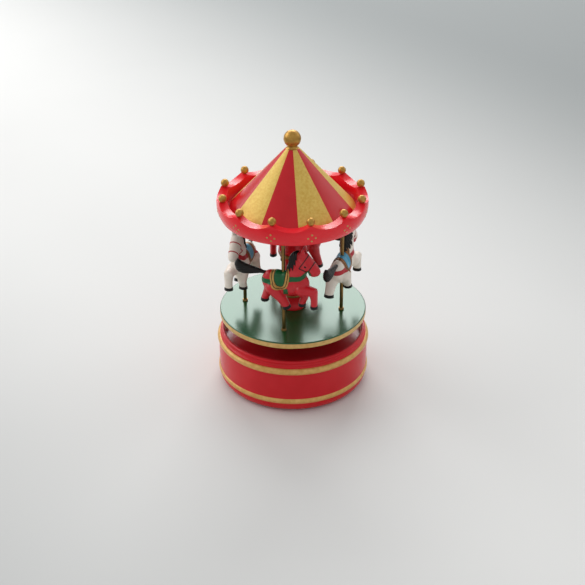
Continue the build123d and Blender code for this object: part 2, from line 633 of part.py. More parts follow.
def side_plane(offset=0.0):
    """Upright plane along the horse, facing the column, offset towards it."""
    return Plane((0, offset, disc_top), x_dir=(1, 0, 0), z_dir=(0, -1, 0))


def slab(points, width, offset=0.0, taper=0.0):
    half = extrude(make_face(Polyline(*points, close=True)), amount=width / 2, dir=(0, 0, 1), taper=taper)
    return side_plane(offset) * (half + mirror(half, Plane.XY))


def limb(stations, width, offset):
    """Leg from overlapping six-sided links between its joints."""
    links = []
    for (x1, z1, r1), (x2, z2, r2) in zip(stations, stations[1:]):
        length = hypot(x2 - x1, z2 - z1)
        ax, az = (x2 - x1) / length, (z2 - z1) / length
        links.append(slab([
            (x1 - az * r1, z1 + ax * r1), (x1 - ax * 0.7 * r1, z1 - az * 0.7 * r1), (x1 + az * r1, z1 - ax * r1),
            (x2 + az * r2, z2 - ax * r2), (x2 + ax * 0.7 * r2, z2 + az * 0.7 * r2), (x2 - az * r2, z2 + ax * r2)],
            width, offset))
    return links


def horse_shape():
    """Galloping horse about its pole, facing +X with the column on its +Y side."""
    shape = slab(HORSE_OUTLINE, HORSE_WIDTH, taper=HORSE_TAPER) + slab(TAIL_OUTLINE, TAIL_WIDTH, taper=HORSE_TAPER)
    for side, stations in LEGS.values():
        shape += limb(stations, LEG_WIDTH, side * (HORSE_WIDTH / 2 - LEG_WIDTH / 2))
    return shape - rod(POLE_RADIUS + GLUE_GAP, disc_top, canopy_low)


def horse(x, y, angle, drop):
    return Pos(x, y, -drop) * Rot(0, 0, angle - HORSE_YAW) * horse_shape()


# ---------------------------------------------------------------- parts
def parts():
    nodes = {
        "base_shell": base_shell, "base_plate": base_plate, "base_screws": base_screws,
        "movement_frame": movement_frame, "movement_screws": movement_screws, "spring_housing": spring_housing,
        "mainspring": mainspring, "comb": comb, "comb_screws": comb_screws, "governor_bracket": governor_bracket,
        "governor_screw": governor_screw, "deck_bush": deck_bush, "music_cylinder": music_cylinder,
        "cylinder_staff": cylinder_staff, "cylinder_gear": cylinder_gear, "cylinder_pinion": cylinder_pinion,
        "second_wheel": second_wheel, "governor": governor, "great_wheel": great_wheel, "drive_arbor": drive_arbor,
        "platform_hub": platform_hub, "hub_screws": hub_screws, "platform": platform, "column": column,
        "canopy_plate": canopy_plate, "crown_ring": crown_ring, "roof_cone": roof_cone, "finial": finial,
    }
    for name, build in nodes.items():
        yield name, build()
    for k, (x, y, angle) in enumerate(pole_places, 1):
        yield f"pole_ferrule_{k}", pole_ferrule(x, y)
        yield f"pole_{k}", pole(x, y)
        yield f"horse_{k}", horse(x, y, angle, HORSE_DROPS[k - 1])
    for k, (x, y) in enumerate(ball_points, 1):
        yield f"crown_ball_{k}", crown_ball(x, y)


os.makedirs("parts", exist_ok=True)
for name, shape in parts():
    solids = [s for item in shape for s in item.solids()] if isinstance(shape, list) else shape.solids()
    export_step(solids[0] if len(solids) == 1 else Compound(solids), f"parts/{name}.step")
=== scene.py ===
"""Looks of the carousel music box: lacquer, gilding, carved horses, light and camera."""
from math import atan2, cos, pi, radians, sin

import bpy
from mathutils import Matrix, Vector


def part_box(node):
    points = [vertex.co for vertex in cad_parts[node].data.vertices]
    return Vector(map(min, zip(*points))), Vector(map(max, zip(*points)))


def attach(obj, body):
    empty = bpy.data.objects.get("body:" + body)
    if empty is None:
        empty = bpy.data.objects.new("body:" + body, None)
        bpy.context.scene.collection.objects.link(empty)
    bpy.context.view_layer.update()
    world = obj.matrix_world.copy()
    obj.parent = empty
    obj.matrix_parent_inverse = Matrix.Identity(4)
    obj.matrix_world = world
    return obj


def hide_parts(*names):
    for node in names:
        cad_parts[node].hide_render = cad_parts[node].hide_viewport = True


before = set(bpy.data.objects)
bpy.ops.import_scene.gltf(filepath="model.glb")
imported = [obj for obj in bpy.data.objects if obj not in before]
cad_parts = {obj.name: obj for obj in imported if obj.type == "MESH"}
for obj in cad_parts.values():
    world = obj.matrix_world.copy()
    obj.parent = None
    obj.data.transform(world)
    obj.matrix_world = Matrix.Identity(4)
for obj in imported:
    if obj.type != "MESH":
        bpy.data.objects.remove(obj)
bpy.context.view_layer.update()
MM = 0.001

# ---------------------------------------------------------------- places, from the frame
disc_low, disc_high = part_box("platform")
base_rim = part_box("base_shell")[1].x
crown_low, crown_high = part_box("crown_ring")
canopy_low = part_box("canopy_plate")[0].z
disc_top = disc_high.z

# Painted bands, each from one height to another
LOW_BEAD = (6.9 * MM, 10.5 * MM)
HIGH_BEAD = (29.0 * MM, 33.0 * MM)
COLUMN_BANDS = ((disc_top + 9.4 * MM, disc_top + 10.9 * MM),
                (crown_low.z - 29.8 * MM, crown_low.z - 27.2 * MM))
CANOPY_UNDERSIDE = (canopy_low - MM, canopy_low + 0.3 * MM)
BEAD_REACH = 5.0 * MM       # only this far in from the base's widest radius is a bead gilt
DISC_RIM = 0.9 * MM         # gilt depth of the disc's edge
DISC_SIDE = (disc_low.z + 0.3 * MM, disc_top - 0.6 * MM)
ROOF_WEDGES = 10
ROOF_START = 5.4            # first wedge boundary right of the front, degrees


# ---------------------------------------------------------------- small tools
def linear(code):
    """Linear colour of an sRGB hex value."""
    parts = [int(code[i:i + 2], 16) / 255 for i in (1, 3, 5)]
    return (*[p / 12.92 if p <= 0.04045 else ((p + 0.055) / 1.055) ** 2.4 for p in parts], 1.0)


def add(tree, kind, values=None, links=None, **properties):
    """Adds a shader node with its properties, socket values and incoming links."""
    node = tree.nodes.new("ShaderNode" + kind)
    for name, value in properties.items():
        setattr(node, name, value)
    for socket, value in (values or {}).items():
        node.inputs[socket].default_value = value
    for socket, output in (links or {}).items():
        tree.links.new(output, node.inputs[socket])
    return node


def new_material(name, **settings):
    """Material with its Principled shader's plain values set."""
    material = bpy.data.materials.new(name)
    material.use_nodes = True
    tree = material.node_tree
    shader = tree.nodes["Principled BSDF"]
    for socket, value in settings.items():
        shader.inputs[socket.replace("_", " ")].default_value = value
    return material, tree, shader


def mixed(tree, factor, first, second):
    """Colour output that goes from first to second; each is a colour or an output."""
    node = add(tree, "Mix", links={0: factor}, data_type="RGBA")
    for socket, value in ((6, first), (7, second)):
        if isinstance(value, tuple):
            node.inputs[socket].default_value = value
        else:
            tree.links.new(value, node.inputs[socket])
    return node.outputs[2]


def between(tree, value, low, high, soft):
    """1 where value lies between low and high, with a soft edge."""
    rise = add(tree, "MapRange", {1: low - soft, 2: low + soft}, {0: value})
    fall = add(tree, "MapRange", {1: high - soft, 2: high + soft, 3: 1.0, 4: 0.0}, {0: value})
    return both(tree, rise.outputs[0], fall.outputs[0])


def larger(tree, first, second):
    return add(tree, "Math", links={0: first, 1: second}, operation="MAXIMUM").outputs[0]


def beyond(tree, value, limit):
    """1 where value is over the limit."""
    return add(tree, "Math", {1: limit}, {0: value}, operation="GREATER_THAN").outputs[0]


def both(tree, first, second):
    return add(tree, "Math", links={0: first, 1: second}, operation="MULTIPLY").outputs[0]


def colour(tree, shader, output):
    tree.links.new(output, shader.inputs["Base Color"])


def graded(tree, shader, mask, **sockets):
    """Lets each named socket go from its first value to its second with the mask."""
    for socket, (low, high) in sockets.items():
        value = add(tree, "MapRange", {3: low, 4: high}, {0: mask})
        tree.links.new(value.outputs[0], shader.inputs[socket])


def place(tree):
    return add(tree, "TexCoord").outputs["Object"]


def place_parts(tree):
    """Object coordinates, whole and split, and the distance from the carousel's axis."""
    where = place(tree)
    parts = add(tree, "SeparateXYZ", links={0: where})
    flat = add(tree, "CombineXYZ", links={0: parts.outputs[0], 1: parts.outputs[1]})
    radius = add(tree, "VectorMath", links={0: flat.outputs[0]}, operation="LENGTH").outputs["Value"]
    return where, parts.outputs, radius


def mottle(tree, where, size, detail=3.0):
    """Noise from 0 to 1 whose blotches are about size metres across."""
    noise = add(tree, "TexNoise", {"Scale": 1.0 / size, "Detail": detail}, {"Vector": where})
    return add(tree, "MapRange", {1: 0.3, 2: 0.7}, {0: noise.outputs[0]}).outputs[0]


def roughen(tree, shader, where, size, depth):
    """Bump of the given grain size and depth."""
    noise = add(tree, "TexNoise", {"Scale": 1.0 / size, "Detail": 2.0}, {"Vector": where})
    bump = add(tree, "Bump", {"Strength": 1.0, "Distance": depth}, {"Height": noise.outputs[0]})
    tree.links.new(bump.outputs[0], shader.inputs["Normal"])


# ---------------------------------------------------------------- finishes
RED = linear("#C8141E")
RED_LIT = linear("#D01A24")
GOLD = linear("#E0B46E")
GOLD_DARK = linear("#C8984F")
GLOSS = 0.22                # roughness of the sprayed lacquer
GILT_ROUGHNESS = 0.34
GILT_METAL = 0.25           # the gold paint is part metal, part varnish
BAND_SOFTNESS = 0.15 * MM


def red_lacquer(name, bands=(), from_radius=0.0, shine=0.3, reds=(RED, RED_LIT), golds=(GOLD_DARK, GOLD)):
    """Sprayed gloss lacquer on turned beech, hard and clear with slight orange peel. The bands are painted
    by hand, where asked only beyond a radius."""
    material, tree, shader = new_material(name, Specular_IOR_Level=shine, IOR=1.5, Roughness=GLOSS)
    where, parts, radius = place_parts(tree)
    finish = mixed(tree, mottle(tree, where, 0.012), *reds)
    if bands:
        mask = between(tree, parts[2], *bands[0], BAND_SOFTNESS)
        for band in bands[1:]:
            mask = larger(tree, mask, between(tree, parts[2], *band, BAND_SOFTNESS))
        if from_radius:
            mask = both(tree, mask, beyond(tree, radius, from_radius))
        finish = mixed(tree, mask, finish, mixed(tree, mottle(tree, where, 0.003), *golds))
        graded(tree, shader, mask, Roughness=(GLOSS, GILT_ROUGHNESS), Metallic=(0.0, GILT_METAL))
    colour(tree, shader, finish)
    roughen(tree, shader, where, 0.004, 0.00001)
    return material


def platform_lacquer():
    """Deep green gloss lacquer with a gilt edge and a thin dark line at the edge's top."""
    material, tree, shader = new_material("green_gloss_lacquer", IOR=1.68,
                                          Specular_Tint=(0.74, 1.0, 0.86, 1.0))
    where, parts, radius = place_parts(tree)
    gilt = both(tree, beyond(tree, radius, disc_high.x - DISC_RIM),
                between(tree, parts[2], *DISC_SIDE, 0.0001))
    green = mixed(tree, mottle(tree, where, 0.02), linear("#05401F"), linear("#084C26"))
    gold = mixed(tree, mottle(tree, where, 0.003), GOLD_DARK, GOLD)
    colour(tree, shader, mixed(tree, gilt, green, gold))
    graded(tree, shader, gilt, Roughness=(0.2, GILT_ROUGHNESS), Metallic=(0.0, GILT_METAL))
    roughen(tree, shader, where, 0.006, 0.000008)
    return material


def roof_paint():
    """Satin lacquer in alternate red and gold wedges; the gold is stippled."""
    material, tree, shader = new_material("roof_wedges", Specular_IOR_Level=0.35, IOR=1.5)
    where, parts, _ = place_parts(tree)
    flipped = add(tree, "Math", {1: -1.0}, {0: parts[1]}, operation="MULTIPLY").outputs[0]
    angle = add(tree, "Math", links={0: parts[0], 1: flipped}, operation="ARCTAN2").outputs[0]
    wedge = 2 * pi / ROOF_WEDGES
    turned = add(tree, "Math", {1: 2 * pi - radians(ROOF_START)}, {0: angle}, operation="ADD").outputs[0]
    count = add(tree, "Math", {1: 2 * wedge}, {0: turned}, operation="FLOORED_MODULO").outputs[0]
    gold_here = add(tree, "Math", {1: wedge}, {0: count}, operation="LESS_THAN").outputs[0]
    red = mixed(tree, mottle(tree, where, 0.01), RED, RED_LIT)
    gold = mixed(tree, mottle(tree, where, 0.0016), linear("#DAB04E"), linear("#E8C868"))
    colour(tree, shader, mixed(tree, gold_here, red, gold))
    graded(tree, shader, gold_here, Roughness=(0.24, 0.42), Metallic=(0.0, 0.2))
    roughen(tree, shader, where, 0.0016, 0.00002)
    return material


def gilt_paint():
    """Bronze-powder gold paint on turned beads: soft metal gleam, slightly uneven."""
    material, tree, shader = new_material("gilt_paint", Metallic=0.7, Roughness=0.36)
    where = place(tree)
    colour(tree, shader, mixed(tree, mottle(tree, where, 0.002), linear("#AC8038"), linear("#C89A4A")))
    roughen(tree, shader, where, 0.001, 0.00001)
    return material


def metal(name, dark, light, roughness):
    """Bare turned or cut metal with faint tool marks."""
    material, tree, shader = new_material(name, Metallic=1.0, Roughness=roughness)
    where = place(tree)
    colour(tree, shader, mixed(tree, mottle(tree, where, 0.004), linear(dark), linear(light)))
    roughen(tree, shader, where, 0.0006, 0.000004)
    return material


def plain_board():
    """Unpainted bottom board: fine straight grain."""
    material, tree, shader = new_material("bottom_board", Roughness=0.6)
    where = place(tree)
    stretched = add(tree, "Mapping", {"Scale": (0.12, 1.0, 1.0)}, {0: where})
    grain = mottle(tree, stretched.outputs[0], 0.0012, detail=6.0)
    colour(tree, shader, mixed(tree, grain, linear("#B98A58"), linear("#D0A674")))
    return material


def governor_acetal():
    """Moulded acetal, slightly milky."""
    material, tree, shader = new_material("governor_acetal", Roughness=0.4)
    where = place(tree)
    colour(tree, shader, mixed(tree, mottle(tree, where, 0.002), linear("#E4E2D8"), linear("#EFEDE6")))
    return material


def brush_paint(name, dark, light, roughness, metallic=0.0, specular=0.4):
    """Enamel brushed on by hand: faint uneven cover and small brush ridges."""
    material, tree, shader = new_material(name, Roughness=roughness, Metallic=metallic,
                                          Specular_IOR_Level=specular)
    where = place(tree)
    colour(tree, shader, mixed(tree, mottle(tree, where, 0.005), linear(dark), linear(light)))
    roughen(tree, shader, where, 0.0012, 0.000012)
    return material


def give(material, *nodes):
    """Paints CAD nodes with one material."""
    for name in nodes:
        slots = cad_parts[name].data.materials
        slots.clear()
        slots.append(material)


def named(start):
    """Names of the CAD nodes that start so."""
    return [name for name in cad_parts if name.startswith(start)]


def paint_nodes():
    brass = metal("movement_brass", "#B08A48", "#C9A562", 0.3)
    steel = metal("bright_steel", "#8E8E90", "#A8A8AA", 0.28)
    give(red_lacquer("base_lacquer", (LOW_BEAD, HIGH_BEAD), base_rim - BEAD_REACH), "base_shell")
    # painted shade: the column's gilt bands get a darker gold, standing in for the horses' shadow over them
    give(red_lacquer("column_lacquer_shaded_bands", COLUMN_BANDS, golds=(linear("#7C5426"), linear("#966A32"))), "column")
    # painted light: the crown's red is a lighter copy of the base's red lacquer, standing in for the
    # stronger light it gets
    give(red_lacquer("crown_lacquer_painted_lighter", shine=0.4, reds=(linear("#EC1A28"), linear("#F42430"))), "crown_ring")
    give(red_lacquer("canopy_lacquer", (CANOPY_UNDERSIDE,), golds=(linear("#0A2C1A"), linear("#0E3824"))),
         "canopy_plate")
    give(platform_lacquer(), "platform")
    give(roof_paint(), "roof_cone")
    give(plain_board(), "base_plate")
    give(metal("polished_brass", "#7E6238", "#98784A", 0.28), *named("pole"))
    give(gilt_paint(), "finial", *named("crown_ball"))
    give(brass, "deck_bush", "platform_hub", "great_wheel", "cylinder_gear", "cylinder_pinion",
         "second_wheel", "music_cylinder", "spring_housing")
    give(steel, "base_screws", "movement_screws", "mainspring", "comb", "comb_screws", "governor_screw",
         "cylinder_staff", "drive_arbor", "hub_screws", "governor_bracket")
    give(metal("cast_zinc", "#77787A", "#8C8D8F", 0.5), "movement_frame")
    give(governor_acetal(), "governor")


paint_nodes()


# ---------------------------------------------------------------- horses
# A horse is shaped about its pole in millimetres: x forwards, y towards the column, z above the disc.
BODY_FORMS = (      # centre, radii, nose-up turn in degrees
    ((-8.0, 0, 35.2), (5.9, 4.9, 7.3), 0),
    ((-4.0, 0, 34.8), (8.6, 5.0, 7.9), 8),
    ((4.0, 0, 35.0), (9.6, 5.1, 8.3), 8),
    ((9.8, 0, 36.0), (7.0, 4.9, 8.3), 12),
    ((8.9, 0, 45.0), (6.3, 4.2, 8.6), -12),
    ((9.3, 0, 51.0), (5.4, 3.4, 7.2), -10),
    ((14.4, 0, 49.4), (4.3, 3.1, 5.0), 0),
    ((19.3, 0, 44.7), (3.0, 2.8, 2.6), 0),
    ((-6.6, -2.0, 33.0), (5.4, 3.4, 6.4), 0),
    ((-7.4, 2.0, 33.4), (5.2, 3.4, 6.4), 0),
    ((12.0, -2.0, 34.2), (4.8, 3.2, 5.4), 0),
    ((11.4, 2.0, 33.4), (4.6, 3.2, 5.4), 0),
)
HEAD_FORM = ((12.8, 0, 54.4, 4.0), (17.2, 0, 49.5, 3.8), (20.5, 0, 45.8, 3.35))
LEGS = {            # stations down the leg: place and radius; then how upright the hoof stands
    "fore_raised": (((12.4, -2.6, 33.0, 3.9), (20.3, -3.2, 32.9, 2.75), (20.9, -3.4, 27.5, 2.15),
                     (20.9, -3.4, 23.9, 2.15)), 1.0),
    "fore_under": (((11.0, 2.6, 31.0, 3.8), (12.9, 3.0, 25.0, 2.4), (11.3, 3.0, 20.8, 2.15)), 1.0),
    "hind_under": (((-6.0, -2.6, 32.0, 4.7), (-0.8, -2.9, 25.8, 3.2), (2.6, -3.0, 20.9, 2.35)), 0.6),
    "hind_raised": (((-8.6, 2.6, 32.0, 4.4), (-11.4, 3.4, 25.2, 2.8), (-13.4, 3.8, 20.4, 2.4)), 0.8),
}
LEG_BREADTH = 1.22
HOOF_HEIGHT = 2.2

# Stations of the tail: x, z and half its depth. Outlines below are pairs of x and z, seen from the side.
TAIL_PATH = ((-11.5, 40.3, 1.1), (-13.5, 40.4, 1.1), (-16.0, 40.7, 1.6), (-19.0, 40.6, 2.3),
             (-22.0, 40.6, 3.0), (-25.0, 40.8, 3.5), (-27.6, 41.4, 3.8), (-29.2, 43.2, 2.8),
             (-29.7, 45.0, 1.6), (-29.8, 46.6, 0.6))
SADDLE_RIM = ((-6.6, 52), (-6.9, 45.2), (-7.7, 40.8), (-7.0, 37.2), (-5.4, 34.5), (-3.0, 32.7), (-0.6, 32.0),
              (1.8, 32.7), (3.7, 34.5), (4.9, 38.5), (4.8, 43.0), (4.0, 46.4), (2.6, 48.2), (2.4, 52))
SADDLE_SEAT = ((-4.0, 52), (-4.1, 45.4), (-4.7, 42.0), (-4.3, 38.4), (-3.3, 36.2), (-2.1, 35.0),
               (-0.6, 34.6), (0.7, 35.1), (1.6, 36.6), (2.0, 39.5), (2.1, 43.0), (2.0, 46.4),
               (1.8, 48.2), (1.8, 52))
BREAST_STRAP = ((3.5, 38.0), (12.2, 39.7), (14.4, 41.2), (19.0, 44.4), (17.2, 47.4), (12.2, 42.7),
                (3.5, 40.9))
CRUPPER_STRAP = ((-16.0, 34.4), (-6.0, 35.6), (-6.0, 38.4), (-16.0, 37.4))
GIRTH_STRAP = ((1.2, 33.2), (4.2, 33.2), (4.2, 28.7), (1.2, 28.7))
BRIDLE_LINES = (((16.9, 57.4), (11.2, 48.2)), ((11.2, 48.2), (16.0, 45.4)), ((15.6, 44.6), (20.9, 53.2)))
BRIDLE_WIDTH = 0.6
EYE = (15.0, 49.6)
MANE = ((10.2, 61.2), (6.8, 60.4), (2.0, 54.5), (0.4, 48.5), (1.2, 45.0), (2.9, 44.0), (4.0, 47.0),
        (5.0, 44.8), (6.0, 48.6), (7.4, 45.8), (7.8, 51.0), (9.0, 49.4), (8.8, 54.0), (9.8, 53.2),
        (9.4, 57.0), (10.4, 58.6))
CUT_WIDTH = 12.0            # half the width of a cutter, wider than any horse
STRAP_HEIGHT = 0.2          # how far straps, bridle and mane stand off the coat
BRIDLE_HEIGHT = 0.12
MANE_HEIGHT = 0.5

# For each horse: millimetres it is lowered on its pole, degrees its nose is turned outwards
HORSE_PLACES = ((0.0, 7.0), (2.4, 11.0), (2.3, 7.0), (2.6, 7.0))
CREAM_BRIDLE = 2.0          # the cream horses' bridle sits lower by this
BACK_REACH = 4.5            # the back horse's raised foreleg hangs lower by this

BALLS = 12
DOT_HEIGHT = 5.45 * MM      # diamond's centre above the crown's lower edge
DOT_ACROSS = 2.35 * MM      # from the centre to the side dots
DOT_UP = 2.2 * MM           # and to the upper and lower ones
DOT_RADIUS = 0.65 * MM
DOT_FLATNESS = 0.3
OUTSIDE = 80 * MM           # a radius outside the crown


def deselect():
    bpy.ops.object.select_all(action="DESELECT")


def only(piece):
    """Makes one object the selected, active one."""
    deselect()
    piece.select_set(True)
    bpy.context.view_layer.objects.active = piece
    return piece


def settle(piece):
    """Applies the object's own transform to its mesh."""
    only(piece)
    bpy.ops.object.transform_apply(location=True, rotation=True, scale=True)
    return piece


def joined(pieces, name):
    """One object made of several."""
    deselect()
    for piece in pieces:
        piece.select_set(True)
    bpy.context.view_layer.objects.active = pieces[0]
    bpy.ops.object.join()
    whole = bpy.context.object
    whole.name = whole.data.name = name
    return whole


def finished(piece, kind, **settings):
    """Adds a modifier and applies it."""
    only(piece)
    modifier = piece.modifiers.new(kind.lower(), kind)
    for name, value in settings.items():
        setattr(modifier, name, value)
    bpy.ops.object.modifier_apply(modifier=modifier.name)
    return piece


def egg(centre, radii, turn=0.0):
    """Ellipsoid whose long axes turn nose-up."""
    bpy.ops.mesh.primitive_uv_sphere_add(segments=32, ring_count=16, radius=1.0, location=centre)
    form = bpy.context.object
    form.scale = radii
    form.rotation_euler = (0, -radians(turn), 0)
    return settle(form)


def link(start, end, flat=1.0):
    """Round link between two stations (x, y, z, radius); flat widens or squeezes it sideways."""
    run = Vector(end[:3]) - Vector(start[:3])
    middle = (Vector(start[:3]) + Vector(end[:3])) / 2
    bpy.ops.mesh.primitive_cone_add(vertices=32, radius1=start[3], radius2=end[3], depth=run.length)
    cone = bpy.context.object
    cone.rotation_euler = run.to_track_quat("Z", "Y").to_euler()
    settle(cone)
    cone.scale = (1, flat, 1)
    cone.location = middle
    settle(cone)
    return [cone] + [egg(s[:3], (s[3], s[3] * flat, s[3])) for s in (start, end)]


def chain(stations, flat=1.0):
    return [form for a, b in zip(stations, stations[1:]) for form in link(a, b, flat)]


def ear(side):
    """Leaf-shaped ear."""
    bpy.ops.mesh.primitive_cone_add(vertices=24, radius1=2.1, radius2=0.6, depth=5.4,
                                    location=(13.0, side * 2.0, 58.8))
    form = bpy.context.object
    form.scale = (1.0, 0.7, 1.0)
    form.rotation_euler = (radians(-5 * side), radians(8), 0)
    return settle(form)


def carved_body(legs):
    """All the wood of a horse in one skin: forms pressed together, remeshed and rubbed smooth."""
    forms = [egg(*form) for form in BODY_FORMS]
    forms += chain(HEAD_FORM, 0.95)
    for stations, _ in legs.values():
        forms += chain(stations, LEG_BREADTH)
    forms += [ear(-1), ear(1)]
    body = joined(forms, "horse_body")
    finished(body, "REMESH", mode="VOXEL", voxel_size=0.4, use_smooth_shade=True)
    return finished(body, "SMOOTH", factor=0.5, iterations=6)


def curved(points, steps=5):
    """Closed outline through the points with rounded corners (Catmull-Rom)."""
    knots = [Vector(p) for p in points]
    count = len(knots)
    smooth = []
    for k in range(count):
        a, b, c, d = (knots[(k + i) % count] for i in (-1, 0, 1, 2))
        for step in range(steps):
            t = step / steps
            smooth.append(tuple(0.5 * (2 * b + (c - a) * t + (2 * a - 5 * b + 4 * c - d) * t * t
                                       + (3 * b - a - 3 * c + d) * t ** 3)))
    return smooth


def partway(first, second, share):
    """Outline between two outlines with matching points."""
    return [(a[0] + (b[0] - a[0]) * share, a[1] + (b[1] - a[1]) * share) for a, b in zip(first, second)]


def side_prism(points, name):
    """Prism across the horse from an outline seen from its side."""
    mesh = bpy.data.meshes.new(name)
    mesh.from_pydata([(x, -CUT_WIDTH, z) for x, z in points], [], [tuple(range(len(points)))])
    prism = bpy.data.objects.new(name, mesh)
    bpy.context.scene.collection.objects.link(prism)
    only(prism)
    bpy.ops.object.mode_set(mode="EDIT")
    bpy.ops.mesh.select_all(action="SELECT")
    bpy.ops.mesh.extrude_region_move(TRANSFORM_OT_translate={"value": (0, 2 * CUT_WIDTH, 0)})
    bpy.ops.mesh.select_all(action="SELECT")
    bpy.ops.mesh.normals_make_consistent(inside=False)
    bpy.ops.object.mode_set(mode="OBJECT")
    return prism


def copy_of(piece, name):
    twin = piece.copy()
    twin.data = piece.data.copy()
    twin.name = twin.data.name = name
    bpy.context.scene.collection.objects.link(twin)
    return twin


def swollen(body, name, height):
    """Copy of the body grown outwards by a paint or leather thickness."""
    skin = copy_of(body, name)
    return finished(skin, "DISPLACE", strength=height, mid_level=0.0)


def patch(body, name, outline, height, material):
    """Raised patch that follows the body inside a side outline."""
    skin = swollen(body, name, height)
    cutter = side_prism(outline, name + "_cutter")
    finished(skin, "BOOLEAN", operation="INTERSECT", object=cutter, solver="MANIFOLD")
    bpy.data.objects.remove(cutter)
    skin.data.materials.clear()
    skin.data.materials.append(material)
    return skin


def strip(start, end, width):
    """Outline of a straight strip between two side points."""
    along = Vector((end[0] - start[0], end[1] - start[1])).normalized() * (width / 2)
    across = Vector((-along.y, along.x))
    a, b = Vector(start) - along, Vector(end) + along
    return [tuple(p) for p in (a - across, b - across, b + across, a + across)]


def hoof(stations, upright, material):
    """Black-painted hoof on the end of a leg, slightly flared."""
    above, end = Vector(stations[-2][:3]), Vector(stations[-1][:3])
    down = ((end - above).normalized() * (1 - upright) + Vector((0, 0, -1)) * upright).normalized()
    radius = stations[-1][3]
    bpy.ops.mesh.primitive_cone_add(vertices=40, radius1=radius * 1.04, radius2=radius * 1.14,
                                    depth=HOOF_HEIGHT)
    form = bpy.context.object
    form.rotation_euler = down.to_track_quat("Z", "Y").to_euler()
    settle(form)
    finished(form, "BEVEL", width=0.35, segments=3, limit_method="ANGLE")
    form.scale = (1, LEG_BREADTH, 1)
    form.location = end + down * (0.55 * HOOF_HEIGHT)
    settle(form)
    form.data.materials.append(material)
    return form


def combed(piece, across, period, depth):
    """Combs grooves into a hair form, across a direction in the side view."""
    for vertex in piece.data.vertices:
        x, y, z = vertex.co
        wave = sin(2 * pi * (x * across[0] + z * across[1]) / period + 1.3 * sin(0.45 * z + 0.3 * x))
        vertex.co.y += (depth if y > 0 else -depth) * wave * min(1.0, abs(y))


def tail(material):
    """Plume carried level behind the horse, swelling to a turned-up end."""
    forms = []
    for a, b in zip(TAIL_PATH, TAIL_PATH[1:]):
        for step in range(4):
            t = step / 4
            x, z, r = (a[i] + (b[i] - a[i]) * t for i in range(3))
            forms.append(egg((x, 0, z), (r, 0.9 + 0.42 * r, r)))
    plume = joined(forms, "tail")
    finished(plume, "REMESH", mode="VOXEL", voxel_size=0.25, use_smooth_shade=True)
    finished(plume, "SMOOTH", factor=0.5, iterations=8)
    combed(plume, (-0.12, 0.99), 1.3, 0.16)
    plume.data.materials.append(material)
    return plume


def on_body(body, x, z, side):
    """Point on the body's flank at side position x, z."""
    hit, point, *_ = body.ray_cast(Vector((x, side * CUT_WIDTH, z)), Vector((0, -side, 0)))
    return point if hit else Vector((x, side * 0.6, z))


def mane(body, material):
    """Mane lying on both sides of the crest, its lower edge in pointed locks."""
    hair = patch(body, "mane", MANE, MANE_HEIGHT, material)
    finished(hair, "REMESH", mode="VOXEL", voxel_size=0.22, use_smooth_shade=True)
    finished(hair, "SMOOTH", factor=0.5, iterations=3)
    combed(hair, (0.96, 0.28), 1.35, 0.2)
    return hair


def eye(body, side, material):
    form = egg(on_body(body, *EYE, side), (0.8, 0.3, 0.7), -20)
    form.data.materials.append(material)
    return form


def horse_master(coat, hair, seat, gilt, seam, strap, bridle, hoof_paint, bridle_lowered, reach):
    """One horse in millimetres about its pole, with a material for each finish. The raised foreleg hangs
    lower by its reach."""
    legs = dict(LEGS)
    stations, upright = legs["fore_raised"]
    legs["fore_raised"] = stations[:2] + tuple((x, y, z - reach, r) for x, y, z, r in stations[2:]), upright
    body = carved_body(legs)
    rim, inner = curved(SADDLE_RIM), curved(SADDLE_SEAT)
    # the saddle steps up from its gilt rim over brown seams to the seat
    steps = ((0.0, 0.26, gilt), (0.32, 0.31, seam), (0.48, 0.39, gilt), (0.86, 0.42, seam),
             (1.0, 0.47, seat))
    pieces = [patch(body, "saddle", partway(rim, inner, share), height, material)
              for share, height, material in steps]
    pieces += [patch(body, "strap", outline, STRAP_HEIGHT, strap)
               for outline in (BREAST_STRAP, CRUPPER_STRAP, GIRTH_STRAP)]
    down = Vector((0.6, -0.8)) * bridle_lowered
    pieces += [patch(body, "bridle", strip(Vector(a) + down, Vector(b) + down, BRIDLE_WIDTH), BRIDLE_HEIGHT,
                     bridle) for a, b in BRIDLE_LINES]
    pieces += [hoof(stations, upright, hoof_paint) for stations, upright in legs.values()]
    pieces += [eye(body, side, hoof_paint) for side in (-1, 1)]
    pieces += [mane(body, hair), tail(hair)]
    body.data.materials.clear()
    body.data.materials.append(coat)
    return joined([body, *pieces], "horse")


def place_horse(master, number):
    """Copies the master to its pole and takes the place of the plain CAD horse."""
    low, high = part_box(f"pole_{number}")
    x, y = (low.x + high.x) / 2, (low.y + high.y) / 2
    drop, yaw = HORSE_PLACES[number - 1]
    horse = copy_of(master, f"carved_horse_{number}")
    horse.data.transform(Matrix.Translation((x, y, disc_top - drop * MM))
                         @ Matrix.Rotation(atan2(x, -y) - radians(yaw), 4, "Z") @ Matrix.Scale(MM, 4))
    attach(horse, "carousel")
    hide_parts(f"horse_{number}")
    return horse


